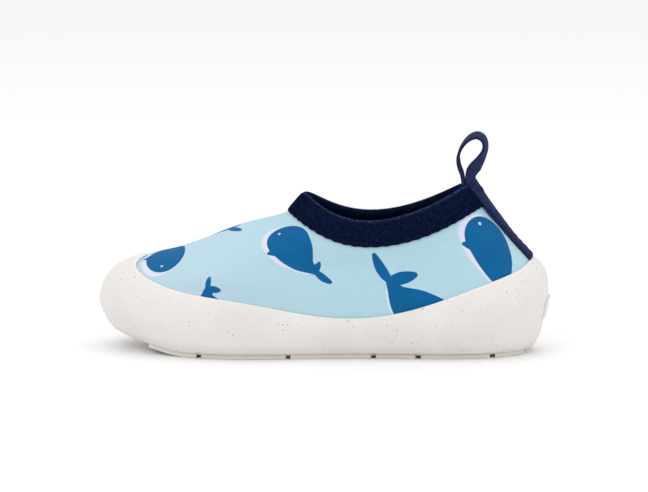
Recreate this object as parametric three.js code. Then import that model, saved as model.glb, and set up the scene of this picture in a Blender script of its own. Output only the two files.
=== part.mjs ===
// Child's slip-on neoprene water shoe, left foot. Millimetres, +Z up, toe towards -X, outer side towards -Y.
import * as THREE from 'three';

// Sizes a maker would change -------------------------------------------------------------------------
const shoeLength = 168;          // toe cap to heel badge
const shoeWidth = 70;            // across the ball of the foot
const fit = 0.3;                 // clearance left between neighbouring pieces
const padHeight = 1.7;           // tread pads
const floorThickness = 3.6;      // cup sole under the foot
const boardThickness = 1.0;
const footbedFoamThickness = 3.5;
const footbedCoverThickness = 0.7;
const upperThickness = 1.3;      // printed neoprene
const liningThickness = 0.8;
const bandProud = 0.6;           // knit collar band over the upper
const tapeThickness = 1.1;       // heel tape and pull loop ribbon
const tapeWidth = 12;
const threadRadius = 0.3;
const grooveWidth = 1.7;
const grooves = [-64, -43.7, -10.9, 20.2, 36.6, 63.6];  // across the sole, measured from mid-length
const treadFront = -75.5;
const treadBack = 75;
const springStart = -48;         // the sole leaves the ground in front of here
const springSlope = 0.21;
const badgeSize = { width: 12, thickness: 0.8, low: 0.45, high: 0.86 };
const toeTurn = 2.4;             // toe swings this far to the inner side
const innerWaist = 0.06;         // inner side drawn in under the arch
const columns = 48;              // facets round the shoe

// Heights that follow from the stack under the foot
const lengthScale = shoeLength / 168;
const widthScale = shoeWidth / 70;
const spring = (x) => {
  const d = Math.max(0, springStart - x / lengthScale);
  return d < 8 ? springSlope * d * d / 16 : springSlope * (d - 4);
};
const cupUnder = padHeight + fit;
const floorTop = cupUnder + floorThickness;
const boardBase = floorTop + fit;
const foamBase = boardBase + boardThickness + fit;
const coverBase = foamBase + footbedFoamThickness + fit;

// The outer face of the upper is one smooth skin held by eight lines round the shoe. Each line is given on
// the outer half, toe to heel, as [x, half width, z].
const featherLine = [[-77.9, 0], [-73, 12.8], [-54.5, 25], [-29.5, 29.6], [0, 25.4], [30, 23.2], [55, 21.8],
  [71.8, 13.2], [77.5, 0]].map(([x, w]) => [x, w, floorTop + fit + 0.1 + spring(x * lengthScale)]);
const widestLine = [[-81.1, 0, 18.8], [-76.4, 14.2, 17.5], [-58.5, 27.3, 15.5], [-31, 32.4, 12.5], [0, 28.2, 11],
  [31, 26, 11.5], [57.5, 24.9, 14], [75.8, 15.2, 19.5], [81.2, 0, 23]];
const shoulderLine = [[-77.3, 0, 27.1], [-74.1, 13.4, 25.5], [-56.2, 27.3, 20.8], [-28, 32.1, 17], [2, 28.3, 13.6],
  [31.3, 26.1, 14.8], [57.2, 24.6, 20.6], [74.8, 15.6, 27], [80, 0, 30]];
const cupLine = [[-65.7, 0, 33.8], [-68.2, 12.2, 30.9], [-53, 26.5, 24.8], [-25, 31.4, 20.9], [4, 28, 15.9],
  [31.5, 26, 17.9], [56.5, 24, 26.2], [72.5, 15.3, 32], [77, 0, 34.7]];
const lowerLine = [[-52, 0, 37.5], [-50.5, 12.2, 36], [-36, 26.6, 30.8], [-14, 29, 26.2], [10.5, 26.8, 24],
  [33.8, 25.1, 26.4], [54.8, 22.5, 34], [68, 13.6, 38.9], [71.2, 0, 41]];
const upperLine = [[-31, 0, 45.8], [-27.8, 11.3, 44.8], [-17.5, 22.7, 39.8], [-2.5, 24.9, 34.4], [17.5, 24.2, 33],
  [36, 22.8, 35.6], [52.3, 19.3, 41.8], [62.7, 11, 46.2], [65.6, 0, 47.6]];
const collarLine = [[-12.4, 0, 51.5], [-9.9, 9.5, 50.4], [-1.8, 17.8, 46], [10, 21.3, 41.7], [24, 21.8, 41.3],
  [37.7, 20.4, 44.4], [49.5, 16, 49.4], [57.3, 8.5, 53.4], [60.1, 0, 54.4]];
const topLine = [[-5.7, 0, 58.4], [-3.4, 6, 57], [3.1, 11.7, 53.3], [12.9, 15.6, 50.5], [24.4, 16.2, 50.9],
  [35.9, 14.8, 54.1], [45.7, 11.6, 58.5], [52.2, 6, 62], [54.5, 0, 63]];
const lines = [featherLine, widestLine, shoulderLine, cupLine, lowerLine, upperLine, collarLine, topLine];
// Places up the skin, counted in lines: cup lip, foot of the collar and top edge
const atCup = 3;
const atCollar = 6;
const atTop = 7;

const around = 16;               // control columns round the shoe, 0 toe, 8 heel

// Outer half and its mirrored inner half of a line, as one closed run of points
const closedLine = (half) => {
  const points = [];
  for (let i = 0; i < around; i++) {
    const inner = i > 8;
    const [x, w, z] = half[inner ? around - i : i];
    const swing = toeTurn * THREE.MathUtils.smoothstep(-x, 10, 84);
    const waist = inner ? 1 - innerWaist * Math.exp(-(((x - 8) / 34) ** 2)) : 1;
    points.push(new THREE.Vector3(x * lengthScale, ((inner ? 1 : -1) * w * waist + swing) * widthScale, z));
  }
  return points;
};

// Smooth closed curve through the points: even cubic spline, its weights settled by repeated correction
const smoothLine = (points) => {
  const n = points.length;
  const blend = (c, i) => c[(i + n - 1) % n].clone().add(c[(i + 1) % n]).addScaledVector(c[i], 4).divideScalar(6);
  let weights = points.map((p) => p.clone());
  for (let pass = 0; pass < 40; pass++) {
    weights = weights.map((w, i) => w.clone().add(points[i]).sub(blend(weights, i)));
  }
  return (s) => {
    const i = Math.floor(s);
    const f = s - i;
    const w = [(1 - f) ** 3, 3 * f ** 3 - 6 * f * f + 4, -3 * f ** 3 + 3 * f * f + 3 * f + 1, f ** 3];
    const out = new THREE.Vector3();
    w.forEach((weight, k) => out.addScaledVector(weights[(((i - 1 + k) % n) + n) % n], weight / 6));
    return out;
  };
};
const smoothLines = lines.map((line) => smoothLine(closedLine(line)));

// A point of the skin: s runs round the shoe (0 toe, 8 heel), t runs up it, lift is the height off the skin
const onSkin = (s, t) => new THREE.CatmullRomCurve3(smoothLines.map((line) => line(s)), false, 'centripetal')
  .getPoint(t / (lines.length - 1));
const skin = (s, t, lift = 0) => {
  const step = 0.02;
  const t0 = Math.max(0, t - step);
  const t1 = Math.min(lines.length - 1, t + step);
  const up = onSkin(s, t1).sub(onSkin(s, t0));
  const round = onSkin(s + step, t).sub(onSkin(s - step, t));
  return onSkin(s, t).addScaledVector(up.cross(round).normalize(), -lift);
};

// Mesh building --------------------------------------------------------------------------------------
const meshes = [];
const addMesh = (name, points, faces, look) => {
  const geometry = new THREE.BufferGeometry();
  geometry.setAttribute('position', new THREE.Float32BufferAttribute(points.flatMap((p) => p.toArray()), 3));
  geometry.setIndex(faces.flat());
  const mesh = new THREE.Mesh(geometry.toNonIndexed(), new THREE.MeshStandardMaterial({ metalness: 0, ...look }));
  // Faces are wound outwards by the sign of the enclosed volume
  let volume = 0;
  faces.forEach(([a, b, c]) => { volume += points[a].dot(points[b].clone().cross(points[c])); });
  if (volume < 0) {
    geometry.setIndex(faces.map(([a, b, c]) => [a, c, b]).flat());
    mesh.geometry = geometry.toNonIndexed();
  }
  mesh.geometry.computeVertexNormals();
  mesh.name = name;
  meshes.push(mesh);
};

// Rungs across a closed run of points. With a tip, point 0 and the middle point stand alone at the ends.
const rungs = (ids, tip) => {
  const n = ids.length;
  const faces = [];
  for (let k = 0; k < n / 2; k++) {
    const [a, b, c, d] = tip ? [k, k + 1, n - k - 1, (n - k) % n] : [k, k + 1, n - k - 2, n - k - 1];
    if (!tip && k >= n / 2 - 1) break;
    if (b !== c) faces.push([ids[a], ids[b], ids[c]]);
    if (a !== d) faces.push([ids[a], ids[c], ids[d]]);
  }
  return faces;
};

// A solid from rows of points. 'band' closes the rows on themselves, 'plate' closes first and last row with
// rungs; roundRows says whether each row runs all the way round.
const solid = (name, rows, kind, look, tip = true, roundRows = true) => {
  const m = rows[0].length;
  const id = (r, j) => r * m + (j % m);
  const faces = [];
  const last = kind === 'band' ? rows.length : rows.length - 1;
  for (let r = 0; r < last; r++) {
    const next = (r + 1) % rows.length;
    for (let j = 0; j < (roundRows ? m : m - 1); j++) {
      faces.push([id(r, j), id(r, j + 1), id(next, j + 1)], [id(r, j), id(next, j + 1), id(next, j)]);
    }
  }
  if (kind === 'plate') {
    const row = (r) => rows[r].map((_, j) => id(r, j));
    faces.push(...rungs(row(0).reverse(), false || tip), ...rungs(row(rows.length - 1), tip));
  }
  if (!roundRows) {
    const end = (j) => rows.map((_, r) => id(r, j));
    faces.push(...rungs(end(0), false), ...rungs(end(m - 1).reverse(), false));
  }
  addMesh(name, rows.flat(), faces, look);
};

const look = (color, roughness) => ({ color: new THREE.Color(color), roughness });
const rubberLook = look(0xe9e5e2, 0.7);
const padLook = look(0xdad5ce, 0.75);
const navyLook = look(0x111c40, 0.9);
const darkLook = look(0x060c1e, 0.95);
const threadLook = look(0x2a355c, 0.8);

const places = Array.from({ length: columns }, (_, j) => (j * around) / columns);
const steps = (from, to, count) => Array.from({ length: count + 1 }, (_, i) => from + ((to - from) * i) / count);
const ringRow = (t, lift) => places.map((s) => skin(s, t, lift));

// Cup sole: wall rows from inside to outside over its lip, floor closed on both faces ------------------
const wallPlaces = [0, 0.5, 1, 1.5, 2, 2.5, atCup];
const cupLift = new THREE.CatmullRomCurve3(
  [[0, 3.3], [1, 2.5], [2, 2.4], [atCup, 1.1]].map(([t, lift]) => new THREE.Vector3(t, lift, 0)));
const cupOuter = (t) => cupLift.getPoint(t / atCup).y;
const inward = (points, distance, height) => points.map((p, j) => {
  const round = points[(j + 1) % points.length].clone().sub(points[(j + points.length - 1) % points.length]);
  const out = new THREE.Vector3(round.y, -round.x, 0).normalize();
  const q = p.clone().addScaledVector(out, -distance);
  return new THREE.Vector3(q.x, q.y, height + spring(q.x));
});
const seatRow = ringRow(0, 0);
const cupRows = [
  inward(seatRow, 2, floorTop),
  ...wallPlaces.map((t) => ringRow(t, fit)),
  ...[atCup, 2.9, 2.5, 2, 1.5, 1, 0.5, 0].map((t) => ringRow(t, cupOuter(t))),
  inward(seatRow, -0.6, cupUnder),
];
solid('cup_sole', cupRows, 'plate', rubberLook);

// Tread pads: the underside outline cut by the grooves across it --------------------------------------
const treadOutline = inward(seatRow, 0.7, 0);
const halfWidthAt = (x, inner) => {
  const half = treadOutline.slice(0, columns / 2 + 1);
  const run = inner ? [treadOutline[0], ...treadOutline.slice(columns / 2).reverse()] : half;
  for (let i = 1; i < run.length; i++) {
    if (run[i].x >= x) {
      const f = (x - run[i - 1].x) / (run[i].x - run[i - 1].x);
      return run[i - 1].y + f * (run[i].y - run[i - 1].y);
    }
  }
  return run[run.length - 1].y;
};
const edges = [treadFront, ...grooves, treadBack];
for (let i = 0; i + 1 < edges.length; i++) {
  const from = (edges[i] + (i ? grooveWidth / 2 : 0)) * lengthScale;
  const to = (edges[i + 1] - (i + 2 < edges.length ? grooveWidth / 2 : 0)) * lengthScale;
  const stations = steps(from, to, Math.max(5, Math.round((to - from) / 5)));
  const outline = (inset) => [
    ...stations.map((x) => [x, halfWidthAt(x, false) + inset]),
    ...[...stations].reverse().map((x) => [x, halfWidthAt(x, true) - inset]),
  ];
  const row = (inset, height) => outline(inset).map(([x, y]) => new THREE.Vector3(x, y, height + spring(x)));
  solid(`tread_pad_${i + 1}`, [row(0.4, 0), row(0, 0.5), row(0, padHeight)], 'plate', padLook, false);
}

// Insole board and the two layers of the footbed -------------------------------------------------------
solid('insole_board', [inward(seatRow, 3, boardBase), inward(seatRow, 3, boardBase + boardThickness)],
  'plate', look(0xcfc9bd, 0.9));
solid('footbed_foam', [inward(seatRow, 3.3, foamBase), inward(seatRow, 2.3, foamBase + footbedFoamThickness)],
  'plate', look(0x28324f, 0.9));
solid('footbed_cover',
  [inward(seatRow, 2.3, coverBase), inward(seatRow, 2.1, coverBase + footbedCoverThickness)], 'plate', darkLook);

// Neoprene upper and its lining -----------------------------------------------------------------------
const shellPlaces = [...wallPlaces, 3.5, 4, 4.5, 5, 5.5, atCollar, atCollar + 0.28];
const shell = (name, outer, thickness, paint) => solid(name, [
  ...shellPlaces.map((t) => ringRow(t, outer)),
  ...[...shellPlaces].reverse().map((t) => ringRow(t, outer - thickness)),
], 'band', paint);
shell('neoprene_upper', 0, upperThickness, look(0xb4d6e3, 0.85));
shell('upper_lining', -upperThickness - fit, liningThickness, darkLook);

// Knit collar band: a thin flap over the upper, full thickness above the upper's edge --------------------
const bandOuter = fit + bandProud;
const bandInner = -(upperThickness + fit + liningThickness);
const bandMiddle = (bandOuter + bandInner) / 2;
solid('collar_band', [
  ringRow(atCollar, fit), ringRow(atCollar, bandOuter), ringRow(atCollar + 0.5, bandOuter),
  ringRow(atTop - 0.1, bandOuter), ringRow(atTop, bandMiddle + 0.8), ringRow(atTop, bandMiddle - 0.8),
  ringRow(atTop - 0.1, bandInner), ringRow(atCollar + 0.32, bandInner), ringRow(atCollar + 0.32, fit),
], 'band', navyLook);

// Thread rows: a round thread laid along a run of points on the skin, given as [s, t] pairs
const thread = (name, run, lift) => {
  const ring = (side, height) => run.map(([s, t], i) => {
    const ahead = run[Math.min(i + 1, run.length - 1)];
    const behind = run[Math.max(i - 1, 0)];
    const centre = skin(s, t, lift);
    const out = skin(s, t, lift + 1).sub(centre);
    const along = skin(...ahead, lift).sub(skin(...behind, lift)).normalize();
    const across = along.clone().cross(out).normalize();
    return centre.addScaledVector(across, side * threadRadius).addScaledVector(out, height * threadRadius);
  });
  solid(name, [ring(-1, 0), ring(0, 1), ring(1, 0), ring(0, -1)], 'band', threadLook, false, false);
};
const threadGap = fit + threadRadius;
// Rows round the collar stop short of the heel tape
const collarStop = (tapeWidth / 12) * (70 / shoeWidth); // further round under a wider tape or on a slimmer shoe
const collarRun = (t, clear) => steps(8 + clear * collarStop, 24 - clear * collarStop, 46).map((s) => [s, t]);
thread('collar_foot_stitch', collarRun(atCollar + 0.16, 0.85), bandOuter + threadGap);
thread('collar_top_stitch', collarRun(atCollar + 0.78, 1.05), bandOuter + threadGap);

// Heel tape: a ribbon up the back seam, stepping out over the collar band --------------------------------
// A point near the heel at a given distance y across the back seam
const acrossHeel = (t, y) => {
  let s = 8;
  for (let pass = 0; pass < 8; pass++) {
    const here = onSkin(s, t).y;
    const slope = (onSkin(s + 0.02, t).y - onSkin(s - 0.02, t).y) / 0.04;
    s += (y - here) / slope;
  }
  return s;
};
const tapeLift = (t) => fit + (bandOuter + 0.05) * THREE.MathUtils.smoothstep(t, atCollar - 0.35, atCollar - 0.07);
const strip = (name, places, width, low, high, paint) => {
  const row = (lift) => places.map((t) => lift(t));
  const halves = steps(-width / 2, width / 2, 4);
  const under = halves.map((y) => row((t) => skin(acrossHeel(t, y), t, low(t))));
  const over = [...halves].reverse().map((y) => row((t) => skin(acrossHeel(t, y), t, high(t))));
  solid(name, [...under, ...over], 'band', paint, false, false);
};
const tapePlaces = [3.06, 3.5, 4, 4.5, 5, 5.35, 5.65, 5.8, 5.93, 6.3, 6.6, 6.85];
strip('heel_tape', tapePlaces, tapeWidth, tapeLift, (t) => tapeLift(t) + tapeThickness, look(0x37446e, 0.8));
const tapeRun = (y) => tapePlaces.slice(0, -1).map((t, i) => [i ? t : t + 0.05, y])
  .map(([t]) => [acrossHeel(t, y), t]);
const tapeThread = (name, y) => {
  const run = tapeRun(y);
  const ring = (side, height) => run.map(([s, t]) => {
    const base = skin(s, t, tapeLift(t) + tapeThickness + threadGap + height * threadRadius);
    return base.add(new THREE.Vector3(0, side * threadRadius, 0));
  });
  solid(name, [ring(-1, 0), ring(0, 1), ring(1, 0), ring(0, -1)], 'band', threadLook, false, false);
};
tapeThread('tape_stitch_outer', -tapeWidth / 2 + 1.2);
tapeThread('tape_stitch_inner', tapeWidth / 2 - 1.2);

// Bartack that holds the foot of the loop, across the top of the tape
const tackLow = tapeLift(atTop) + tapeThickness + fit;
strip('loop_bartack', [atTop - 0.55, atTop - 0.47, atTop - 0.39], tapeWidth - 5, () => tackLow, () => tackLow + 0.7, threadLook);

// Inner end of the loop ribbon, sewn down inside the collar
strip('loop_tab', [atTop - 0.7, atTop - 0.5, atTop - 0.3, atTop - 0.04], tapeWidth, () => bandInner - fit - tapeThickness,
  () => bandInner - fit, look(0x1c2748, 0.85));

// Blank badge on the back of the heel cup
const badgePlaces = steps(badgeSize.low, badgeSize.high, 3);
strip('heel_badge', badgePlaces, badgeSize.width, (t) => cupOuter(t) + fit,
  (t) => cupOuter(t) + fit + badgeSize.thickness, rubberLook);

// Pull loop: the same ribbon standing up from the collar's top edge, its two legs drawn together at the foot,
// which turns about the point the round foot is drawn from --------------------------------------------------
const loopFoot = [53.6, 64.8];
const loopPath = [[0, -0.85], [-0.75, -0.45], [-2.3, 1.6], [-3.4, 4.2], [-3.5, 7.3], [-2.1, 11.1], [0.6, 14.4],
  [3.5, 15.5], [6, 13.9], [6.8, 10.5], [5.7, 6.4], [3.5, 3], [0.75, -0.45]];
const loopCurve = new THREE.CatmullRomCurve3(
  loopPath.map(([x, z]) => new THREE.Vector3((loopFoot[0] + x) * lengthScale, 0, loopFoot[1] + z)), true, 'centripetal');
const loopRow = (side, y) => steps(0, 1, 36).slice(0, -1).map((f) => {
  const along = loopCurve.getTangentAt(f);
  return loopCurve.getPointAt(f).add(new THREE.Vector3(-along.z * side, y, along.x * side));
});
const loopHalf = tapeThickness / 2;
solid('pull_loop', [
  loopRow(-loopHalf, -tapeWidth / 2), loopRow(loopHalf, -tapeWidth / 2),
  loopRow(loopHalf, tapeWidth / 2), loopRow(-loopHalf, tapeWidth / 2),
], 'band', look(0x303c66, 0.8));

// The plan is centred on the origin and the tread stands on z = 0
const shoe = new THREE.Group();
shoe.name = 'water_shoe';
meshes.forEach((mesh) => shoe.add(mesh));
const centre = new THREE.Box3().setFromObject(shoe).getCenter(new THREE.Vector3());
meshes.forEach((mesh) => mesh.geometry.translate(-centre.x, -centre.y, 0));
export default shoe;
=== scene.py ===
import math
import bpy
import numpy as np
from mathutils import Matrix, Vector
from mathutils.bvhtree import BVHTree


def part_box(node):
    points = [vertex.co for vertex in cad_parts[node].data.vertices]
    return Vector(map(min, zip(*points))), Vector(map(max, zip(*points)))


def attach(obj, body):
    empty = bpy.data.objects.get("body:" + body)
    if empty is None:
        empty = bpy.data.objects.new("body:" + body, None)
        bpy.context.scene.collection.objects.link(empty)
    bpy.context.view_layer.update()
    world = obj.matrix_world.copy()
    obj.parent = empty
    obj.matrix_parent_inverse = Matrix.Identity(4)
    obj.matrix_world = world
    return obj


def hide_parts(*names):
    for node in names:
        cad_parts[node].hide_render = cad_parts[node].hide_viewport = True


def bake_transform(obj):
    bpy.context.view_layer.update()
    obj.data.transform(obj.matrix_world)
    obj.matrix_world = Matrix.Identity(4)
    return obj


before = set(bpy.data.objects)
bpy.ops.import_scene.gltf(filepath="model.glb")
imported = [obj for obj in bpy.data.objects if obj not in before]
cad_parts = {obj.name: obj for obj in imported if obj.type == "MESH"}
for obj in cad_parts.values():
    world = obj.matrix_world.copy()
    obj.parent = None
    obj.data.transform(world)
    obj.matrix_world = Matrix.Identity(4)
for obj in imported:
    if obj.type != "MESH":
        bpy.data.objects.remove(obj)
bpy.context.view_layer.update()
print("stage: frame loaded")

# Everything below is worked out in millimetres and turned to metres as each mesh is made.
# x runs from toe to heel, z is up, and -y is the outer side of this left shoe.

shoeShape = {
    "toeTurn": 2.4,        # toe swings this far to the inner side
    "innerWaist": 0.06,    # inner side drawn in under the arch
    "springStart": -48.0,  # the sole leaves the ground in front of here
    "springSlope": 0.21,
    "cupUnder": 2.0,       # underside of the cup over the floor
    "floorTop": 5.6,       # inside floor of the cup
}


def spring(x):
    d = np.maximum(0, shoeShape["springStart"] - np.asarray(x, float))
    return np.where(d < 8, shoeShape["springSlope"] * d * d / 16, shoeShape["springSlope"] * (d - 4))


# Lines round the shoe that hold its skin, each on the outer half from toe to heel: x, half width, height
skinLines = [
    [[x, w, shoeShape["floorTop"] + 0.4 + float(spring(x))] for x, w in (
        (-77.9, 0), (-73, 12.8), (-54.5, 25), (-29.5, 29.6), (0, 25.4), (30, 23.2), (55, 21.8), (71.8, 13.2),
        (77.5, 0))],
    [[-81.1, 0, 18.8], [-76.4, 14.2, 17.5], [-58.5, 27.3, 15.5], [-31, 32.4, 12.5], [0, 28.2, 11],
     [31, 26, 11.5], [57.5, 24.9, 14], [75.8, 15.2, 19.5], [81.2, 0, 23]],
    [[-77.3, 0, 27.1], [-74.1, 13.4, 25.5], [-56.2, 27.3, 20.8], [-28, 32.1, 17], [2, 28.3, 13.6],
     [31.3, 26.1, 14.8], [57.2, 24.6, 20.6], [74.8, 15.6, 27], [80, 0, 30]],
    [[-65.7, 0, 33.8], [-68.2, 12.2, 30.9], [-53, 26.5, 24.8], [-25, 31.4, 20.9], [4, 28, 15.9],
     [31.5, 26, 17.9], [56.5, 24, 26.2], [72.5, 15.3, 32], [77, 0, 34.7]],
    [[-52, 0, 37.5], [-50.5, 12.2, 36], [-36, 26.6, 30.8], [-14, 29, 26.2], [10.5, 26.8, 24],
     [33.8, 25.1, 26.4], [54.8, 22.5, 34], [68, 13.6, 38.9], [71.2, 0, 41]],
    [[-31, 0, 45.8], [-27.8, 11.3, 44.8], [-17.5, 22.7, 39.8], [-2.5, 24.9, 34.4], [17.5, 24.2, 33],
     [36, 22.8, 35.6], [52.3, 19.3, 41.8], [62.7, 11, 46.2], [65.6, 0, 47.6]],
    [[-12.4, 0, 51.5], [-9.9, 9.5, 50.4], [-1.8, 17.8, 46], [10, 21.3, 41.7], [24, 21.8, 41.3],
     [37.7, 20.4, 44.4], [49.5, 16, 49.4], [57.3, 8.5, 53.4], [60.1, 0, 54.4]],
    [[-5.7, 0, 58.4], [-3.4, 6, 57], [3.1, 11.7, 53.3], [12.9, 15.6, 50.5], [24.4, 16.2, 50.9],
     [35.9, 14.8, 54.1], [45.7, 11.6, 58.5], [52.2, 6, 62], [54.5, 0, 63]],
]


def closedLine(half):      # the inner half mirrors the outer one, drawn in at the waist
    points = []
    for i in range(16):
        inner = i > 8
        x, w, z = half[16 - i if inner else i]
        f = min(1, max(0, (-x - 10) / 74))
        swing = shoeShape["toeTurn"] * f * f * (3 - 2 * f)
        waist = 1 - shoeShape["innerWaist"] * math.exp(-(((x - 8) / 34) ** 2)) if inner else 1
        points.append((x, (1 if inner else -1) * w * waist + swing, z))
    return np.array(points)


def splineWeights(points):  # even cubic spline through the points of a closed line
    weights = points.copy()
    for _ in range(40):
        weights += points - (np.roll(weights, 1, 0) + 4 * weights + np.roll(weights, -1, 0)) / 6
    return weights


lineWeights = [splineWeights(closedLine(line)) for line in skinLines]


def linesAt(s):  # the eight lines at each place s round the shoe
    s = np.asarray(s, float)
    i = np.floor(s).astype(int)
    f = (s - i)[:, None]
    basis = [(1 - f) ** 3, 3 * f ** 3 - 6 * f * f + 4, -3 * f ** 3 + 3 * f * f + 3 * f + 1, f ** 3]
    return [sum(b * w[(i - 1 + k) % 16] for k, b in enumerate(basis)) / 6 for w in lineWeights]


def curveSpan(p0, p1, p2, p3, f):  # the part f of the way from p1 to p2 on a smooth curve through all four
    d0, d1, d2 = (np.linalg.norm(b - a, axis=-1, keepdims=True) ** 0.5
                  for a, b in ((p0, p1), (p1, p2), (p2, p3)))
    m1 = ((p1 - p0) / d0 - (p2 - p0) / (d0 + d1) + (p2 - p1) / d1) * d1
    m2 = ((p2 - p1) / d1 - (p3 - p1) / (d1 + d2) + (p3 - p2) / d2) * d1
    return ((2 * f ** 3 - 3 * f * f + 1) * p1 + (f ** 3 - 2 * f * f + f) * m1
            + (3 * f * f - 2 * f ** 3) * p2 + (f ** 3 - f * f) * m2)


def columnPoints(s, t):  # grid of skin points, one row for each t
    lines = linesAt(s)
    n = len(lines)
    rows = []
    for place in t:
        k = min(n - 2, max(0, int(math.floor(place))))
        f = place - k
        p1, p2 = lines[k], lines[k + 1]
        p0 = lines[k - 1] if k > 0 else 2 * p1 - p2
        p3 = lines[k + 2] if k + 2 < n else 2 * p2 - p1
        rows.append(curveSpan(p0, p1, p2, p3, f))
    return np.array(rows)


def skinNormals(s, t):
    s, t, near = np.asarray(s, float), np.asarray(t, float), 0.02
    up = columnPoints(s, np.minimum(7, t + near)) - columnPoints(s, np.maximum(0, t - near))
    n = np.cross(columnPoints(s + near, t) - columnPoints(s - near, t), up)
    return n / np.linalg.norm(n, axis=2, keepdims=True)


def skin(s, t, lift=0.0):  # rows of points, lifted off the skin by so many millimetres
    lift = np.asarray(lift, float)
    if lift.ndim == 1:
        lift = lift[:, None]
    if lift.ndim == 2:
        lift = lift[:, :, None]
    return columnPoints(s, t) + skinNormals(s, t) * lift


# The CAD part is centred on its box, so the same small shift is read off its upper
cadLow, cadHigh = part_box("neoprene_upper")
coarse = skin(np.arange(48) / 3, [0, 0.5, 1, 1.5, 2, 2.5, 3, 3.5, 4, 4.5, 5, 5.5, 6, 6.28])
planShift = np.array([
    (cadLow.x + cadHigh.x) * 500 - (coarse[..., 0].min() + coarse[..., 0].max()) / 2,
    (cadLow.y + cadHigh.y) * 500 - (coarse[..., 1].min() + coarse[..., 1].max()) / 2,
    0.0])
print("stage: skin ready, shift", planShift.round(3).tolist())


def makeObject(name, points, faces, material=None, smooth=True):
    mesh = bpy.data.meshes.new(name)
    mesh.from_pydata([tuple(p) for p in (np.asarray(points).reshape(-1, 3) + planShift) / 1000], [], faces)
    mesh.validate()
    if smooth:
        mesh.shade_smooth()
    obj = bpy.data.objects.new(name, mesh)
    bpy.context.scene.collection.objects.link(obj)
    if material:
        mesh.materials.append(material)
    return obj


def rungFaces(ids, tip):  # rungs across a closed run of points
    n = len(ids)
    faces = []
    for k in range(n // 2):
        if tip:
            a, b, c, d = k, k + 1, n - k - 1, (n - k) % n
        else:
            if k >= n // 2 - 1:
                break
            a, b, c, d = k, k + 1, n - k - 2, n - k - 1
        faces.append([ids[i] for i in dict.fromkeys((a, b, c, d))])
    return faces


def gridFaces(rowCount, perRow, closedRound, closedRows):
    faces = []
    for r in range(rowCount if closedRows else rowCount - 1):
        a0, b0 = r * perRow, ((r + 1) % rowCount) * perRow
        for j in range(perRow if closedRound else perRow - 1):
            k = (j + 1) % perRow
            faces.append((a0 + j, a0 + k, b0 + k, b0 + j))
    return faces


def bandFaces(rowCount, perRow):
    return gridFaces(rowCount, perRow, True, True)


def plateFaces(rowCount, perRow, tip=True):
    faces = gridFaces(rowCount, perRow, True, False)
    first = list(range(perRow))
    last = list(range((rowCount - 1) * perRow, rowCount * perRow))
    return faces + [f[::-1] for f in rungFaces(first, tip)] + rungFaces(last, tip)


def faceOut(obj):  # turns the whole mesh round if it encloses a negative volume
    mesh = obj.data
    co = np.zeros(len(mesh.vertices) * 3)
    mesh.vertices.foreach_get("co", co)
    co = co.reshape(-1, 3)
    mesh.calc_loop_triangles()
    tri = np.array([t.vertices[:] for t in mesh.loop_triangles])
    volume = np.einsum("ij,ij->i", co[tri[:, 0]], np.cross(co[tri[:, 1]], co[tri[:, 2]])).sum()
    if volume < 0:
        mesh.flip_normals()
    return obj


def setAttribute(obj, name, values):
    layer = obj.data.attributes.new(name, "FLOAT", "POINT")
    layer.data.foreach_set("value", np.asarray(values, np.float32).ravel())


def setUv(obj, u, v):  # one pair for each point, in millimetres of cloth
    layer = obj.data.uv_layers.new(name="cloth")
    index = np.zeros(len(obj.data.loops), np.int32)
    obj.data.loops.foreach_get("vertex_index", index)
    pair = np.stack([np.ravel(u)[index], np.ravel(v)[index]], 1)
    layer.data.foreach_set("uv", pair.astype(np.float32).ravel())


def finish(obj, body, nodes):  # what the piece rides on and stands for
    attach(obj, body)
    if nodes:
        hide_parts(*nodes)


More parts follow.
